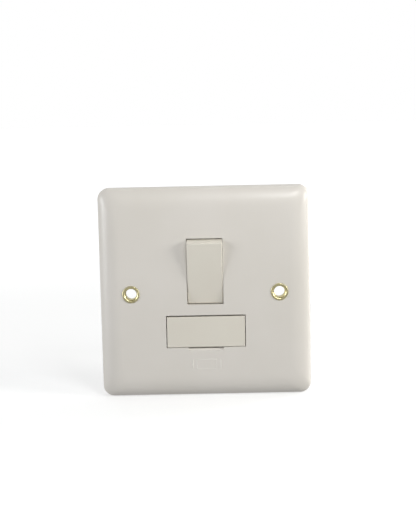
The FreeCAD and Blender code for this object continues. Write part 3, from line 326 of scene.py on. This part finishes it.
def ridge_tree():
    """Geometry nodes that turn a piece's edges into rounded ridges of one width and rise."""
    tree, given = new_shape_tree("moulded_ridge", ("Width", "Rise"))
    path = add_node(tree, "GeometryNodeMeshToCurve", inputs={"Mesh": given["Geometry"]})
    half = add_node(tree, "ShaderNodeMath", {"operation": "MULTIPLY"},
                    {0: given["Width"], 1: 0.5}).outputs["Value"]
    tube = swept(tree, path.outputs["Curve"], RIDGE_SIDES, half)
    share = add_node(tree, "ShaderNodeMath", {"operation": "DIVIDE"},
                     {0: given["Rise"], 1: half}).outputs["Value"]
    scale = add_node(tree, "ShaderNodeCombineXYZ", inputs={"X": 1.0, "Y": share, "Z": 1.0})
    flat = add_node(tree, "GeometryNodeTransform", inputs={
        "Geometry": tube, "Scale": scale.outputs["Vector"]})
    end_shape_tree(tree, flat.outputs["Geometry"], given["Finish"])
    return tree


def coil_tree():
    """Geometry nodes that set a coil of wire on each point: a spring, or a screw's thread."""
    tree, given = new_shape_tree("wound_coil", ("Radius", "Wire", "Length", "Turns", "Sides"))
    spiral = add_node(tree, "GeometryNodeCurveSpiral", inputs={
        "Resolution": COIL_STEPS, "Rotations": given["Turns"], "Start Radius": given["Radius"],
        "End Radius": given["Radius"], "Height": given["Length"]})
    wire = swept(tree, spiral.outputs["Curve"], given["Sides"], given["Wire"])
    placed = add_node(tree, "GeometryNodeInstanceOnPoints", inputs={
        "Points": given["Geometry"], "Instance": wire})
    end_shape_tree(tree, placed.outputs["Instances"], given["Finish"])
    return tree


def set_inputs(modifier, values):
    """Give a geometry nodes modifier its inputs, found by their names."""
    for item in modifier.node_group.interface.items_tree:
        if item.in_out == "INPUT" and item.name in values:
            modifier[item.identifier] = values[item.name]


def face_outwards(mesh):
    build = bmesh.new()
    build.from_mesh(mesh)
    bmesh.ops.recalc_face_normals(build, faces=build.faces)
    build.to_mesh(mesh)
    build.free()


def grown(name, points, edges, tree, sizes, finish, turn):
    """A plain mesh that a tree grows from points and edges, put in its place by a matrix."""
    seed = bpy.data.meshes.new(f"{name}_seed")
    seed.from_pydata(points, edges, [])
    piece = bpy.data.objects.new(name, seed)
    scene.collection.objects.link(piece)
    modifier = piece.modifiers.new(tree.name, "NODES")
    modifier.node_group = tree
    set_inputs(modifier, {**sizes, "Finish": finish})
    graph = bpy.context.evaluated_depsgraph_get()
    mesh = bpy.data.meshes.new_from_object(piece.evaluated_get(graph))
    piece.modifiers.clear()
    piece.data = mesh
    mesh.transform(turn)
    face_outwards(mesh)
    return piece


def make_fuse_symbol():
    """The plain fuse symbol moulded on the plate: a rectangle and a line beyond each end."""
    # Handling polishes raised lines, so they are glossier; their colour, a touch lighter than the
    # face round them, is a painted highlight
    raised = moulded(
        "urea_moulding_raised_lines_painted_highlight", ("#E7E4DD", "#E4E0D9"), roughness=(0.23, 0.29),
        ripple_mm=0.9, ripple_depth_mm=0.008, ior=1.56)
    wide, high = SYMBOL_WIDTH / 2 * MM, SYMBOL_HEIGHT / 2 * MM
    ends = wide + SYMBOL_END_OUT * MM
    points = [(-wide, 0, -high), (wide, 0, -high), (wide, 0, high), (-wide, 0, high),
              (-ends, 0, -high), (-ends, 0, high), (ends, 0, -high), (ends, 0, high)]
    edges = [(0, 1), (1, 2), (2, 3), (3, 0), (4, 5), (6, 7)]
    sizes = {"Width": SYMBOL_LINE * MM, "Rise": SYMBOL_RISE * MM}
    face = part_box("front_plate")[0].y + SYMBOL_SUNK * MM
    piece = grown("fuse_symbol", points, edges, ridge_tree(), sizes, raised,
                  Matrix.Translation((0, face, SYMBOL_CENTRE * MM)))
    piece.data.shade_smooth()
    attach(piece, "unit")


def make_plunger_springs(coils):
    """A spring behind each plunger, in the stem of the tilted rocker. It rides on the rocker."""
    tilt = math.radians(ROCKER_TILT)
    out = Vector((0, -math.cos(tilt), -math.sin(tilt)))
    turn = Vector((0, 0, 1)).rotation_difference(out).to_matrix().to_4x4()
    wire = SPRING_WIRE * MM
    for pole in ("neutral", "live"):
        node = f"plunger_spring_{pole}"
        low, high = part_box(node)
        centre = (low + high) / 2
        along = [(point.co - centre).dot(out) for point in nodes[node].data.vertices]
        length = max(along) - min(along)
        plunger_end = centre + out * (min(along) + wire)
        sizes = {"Radius": (high.x - low.x) / 2 - wire, "Wire": wire,
                 "Length": length - wire * 2, "Turns": SPRING_TURNS, "Sides": WIRE_SIDES}
        spring = grown(f"{node}_coil", [(0, 0, 0)], [], coils, sizes,
                       materials["spring_steel"], Matrix.Translation(plunger_end) @ turn)
        spring.data.shade_smooth()
        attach(spring, "rocker")
        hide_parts(node)
        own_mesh(spring)


def make_screw_threads(coils):
    """Machine threads in the six terminals, and coarse thread-forming ones in the plate."""
    for kind, (radius, start, end, pitch, ridge) in SCREW_THREADS.items():
        points = []
        for screw in sorted(name for name in nodes if name.startswith(kind)):
            low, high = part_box(screw)
            centre = (low + high) / 2
            points.append((centre.x, -centre.z, start * MM))
        sizes = {"Radius": radius * MM, "Wire": ridge * MM, "Length": (end - start) * MM,
                 "Turns": (end - start) / pitch, "Sides": THREAD_SIDES}
        # The coils stand along +Z, and the turn lays them along +Y
        threads = grown(f"{kind}_threads", points, [], coils, sizes, materials["zinc_steel"],
                        Matrix.Rotation(math.radians(-90), 4, "X"))
        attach(threads, "unit")


def make_stage():
    """A pale floor under the plate's lower edge. It throws no light of its own on the unit."""
    side = FLOOR_HALF_SIDE
    mesh = bpy.data.meshes.new("floor")
    mesh.from_pydata([(-side, -side, 0), (side, -side, 0), (side, side, 0), (-side, side, 0)],
                     [], [(0, 1, 2, 3)])
    floor = bpy.data.objects.new("floor", mesh)
    floor.location.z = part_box("front_plate")[0].z - FLOOR_GAP
    floor.visible_diffuse = False
    floor.visible_glossy = False
    scene.collection.objects.link(floor)
    material, tree = new_material("studio_floor")
    place = add_node(tree, "ShaderNodeTexCoord").outputs["Object"]
    away = add_node(tree, "ShaderNodeVectorMath", {"operation": "LENGTH"}, {0: place})
    shader = add_node(tree, "ShaderNodeBsdfPrincipled", inputs={
        "Base Color": linear("#D6D7D7"), "Roughness": 0.7, "Emission Color": linear("#FFFFFF"),
        "Emission Strength": ramp(tree, away.outputs["Value"], FLOOR_FADE, FLOOR_GLOW)})
    finish_material(tree, shader)
    mesh.materials.append(material)


def make_camera():
    data = bpy.data.cameras.new("camera")
    data.sensor_width = SENSOR_WIDTH
    data.lens = FOCAL_PIXELS * SENSOR_WIDTH / FRAME_LONG_SIDE
    data.clip_start, data.clip_end = 0.01, 20
    azimuth, elevation = math.radians(VIEW_AZIMUTH), math.radians(VIEW_ELEVATION)
    roll = math.radians(VIEW_ROLL)
    back = Vector((math.sin(azimuth) * math.cos(elevation),
                   -math.cos(azimuth) * math.cos(elevation), math.sin(elevation)))
    right = Vector((0, 0, 1)).cross(back).normalized()
    up = back.cross(right)
    right, up = (right * math.cos(roll) + up * math.sin(roll),
                 up * math.cos(roll) - right * math.sin(roll))
    camera = bpy.data.objects.new("camera", data)
    turn = Matrix((right, up, back)).transposed().to_4x4()
    camera.matrix_world = Matrix.Translation(VIEW_TARGET + back * VIEW_DISTANCE) @ turn
    scene.collection.objects.link(camera)
    scene.camera = camera


def make_lamps():
    """Low soft lamps at both sides, which shade the rocker's flanks, and weaker ones round them."""
    for name, place, size, watts, colour in LAMPS:
        data = bpy.data.lights.new(name, "AREA")
        data.shape = "SQUARE"
        data.size = size
        data.energy = watts
        data.color = linear(colour)[:3]
        lamp = bpy.data.objects.new(name, data)
        lamp.location = place
        lamp.rotation_mode = "QUATERNION"
        lamp.rotation_quaternion = Vector(place).to_track_quat("Z", "Y")
        lamp.visible_camera = False
        scene.collection.objects.link(lamp)


def make_world():
    """Soft light from all round: weak in front, stronger from below and most from behind."""
    world = bpy.data.worlds.new("studio")
    scene.world = world
    world.use_nodes = True
    tree = world.node_tree
    tree.nodes.clear()
    direction = add_node(tree, "ShaderNodeTexCoord").outputs["Generated"]
    parts = add_node(tree, "ShaderNodeSeparateXYZ", inputs={"Vector": direction}).outputs
    from_below = ramp(tree, parts["Z"], BELOW_Z, BELOW_STRENGTH)
    from_front = ramp(tree, parts["Z"], ABOVE_Z, (from_below, ABOVE_STRENGTH))
    behind = ramp(tree, parts["Y"], BEHIND_Y, (0.0, 1.0))
    over_floor = ramp(tree, parts["Z"], OVER_FLOOR_Z, (0.0, 1.0))
    share = add_node(tree, "ShaderNodeMath", {"operation": "MULTIPLY"},
                     {0: behind, 1: over_floor}).outputs["Value"]
    shed = add_node(tree, "ShaderNodeMapRange", inputs={
        "Value": share, "To Min": from_front, "To Max": BEHIND_STRENGTH}).outputs["Result"]
    # The light on the unit differs by direction, but the backdrop itself is plain white
    backdrop = add_node(tree, "ShaderNodeLightPath").outputs["Is Camera Ray"]
    strength = add_node(tree, "ShaderNodeMapRange", inputs={
        "Value": backdrop, "To Min": shed, "To Max": BACKDROP_STRENGTH}).outputs["Result"]
    background = add_node(tree, "ShaderNodeBackground", inputs={
        "Color": linear("#FFFFFF"), "Strength": strength})
    add_node(tree, "ShaderNodeOutputWorld", inputs={"Surface": background.outputs["Background"]})
    scene.view_settings.view_transform = "Standard"


coil = coil_tree()
dress_nodes()
make_fuse_symbol()
make_plunger_springs(coil)
make_screw_threads(coil)
make_stage()
make_camera()
make_lamps()
make_world()
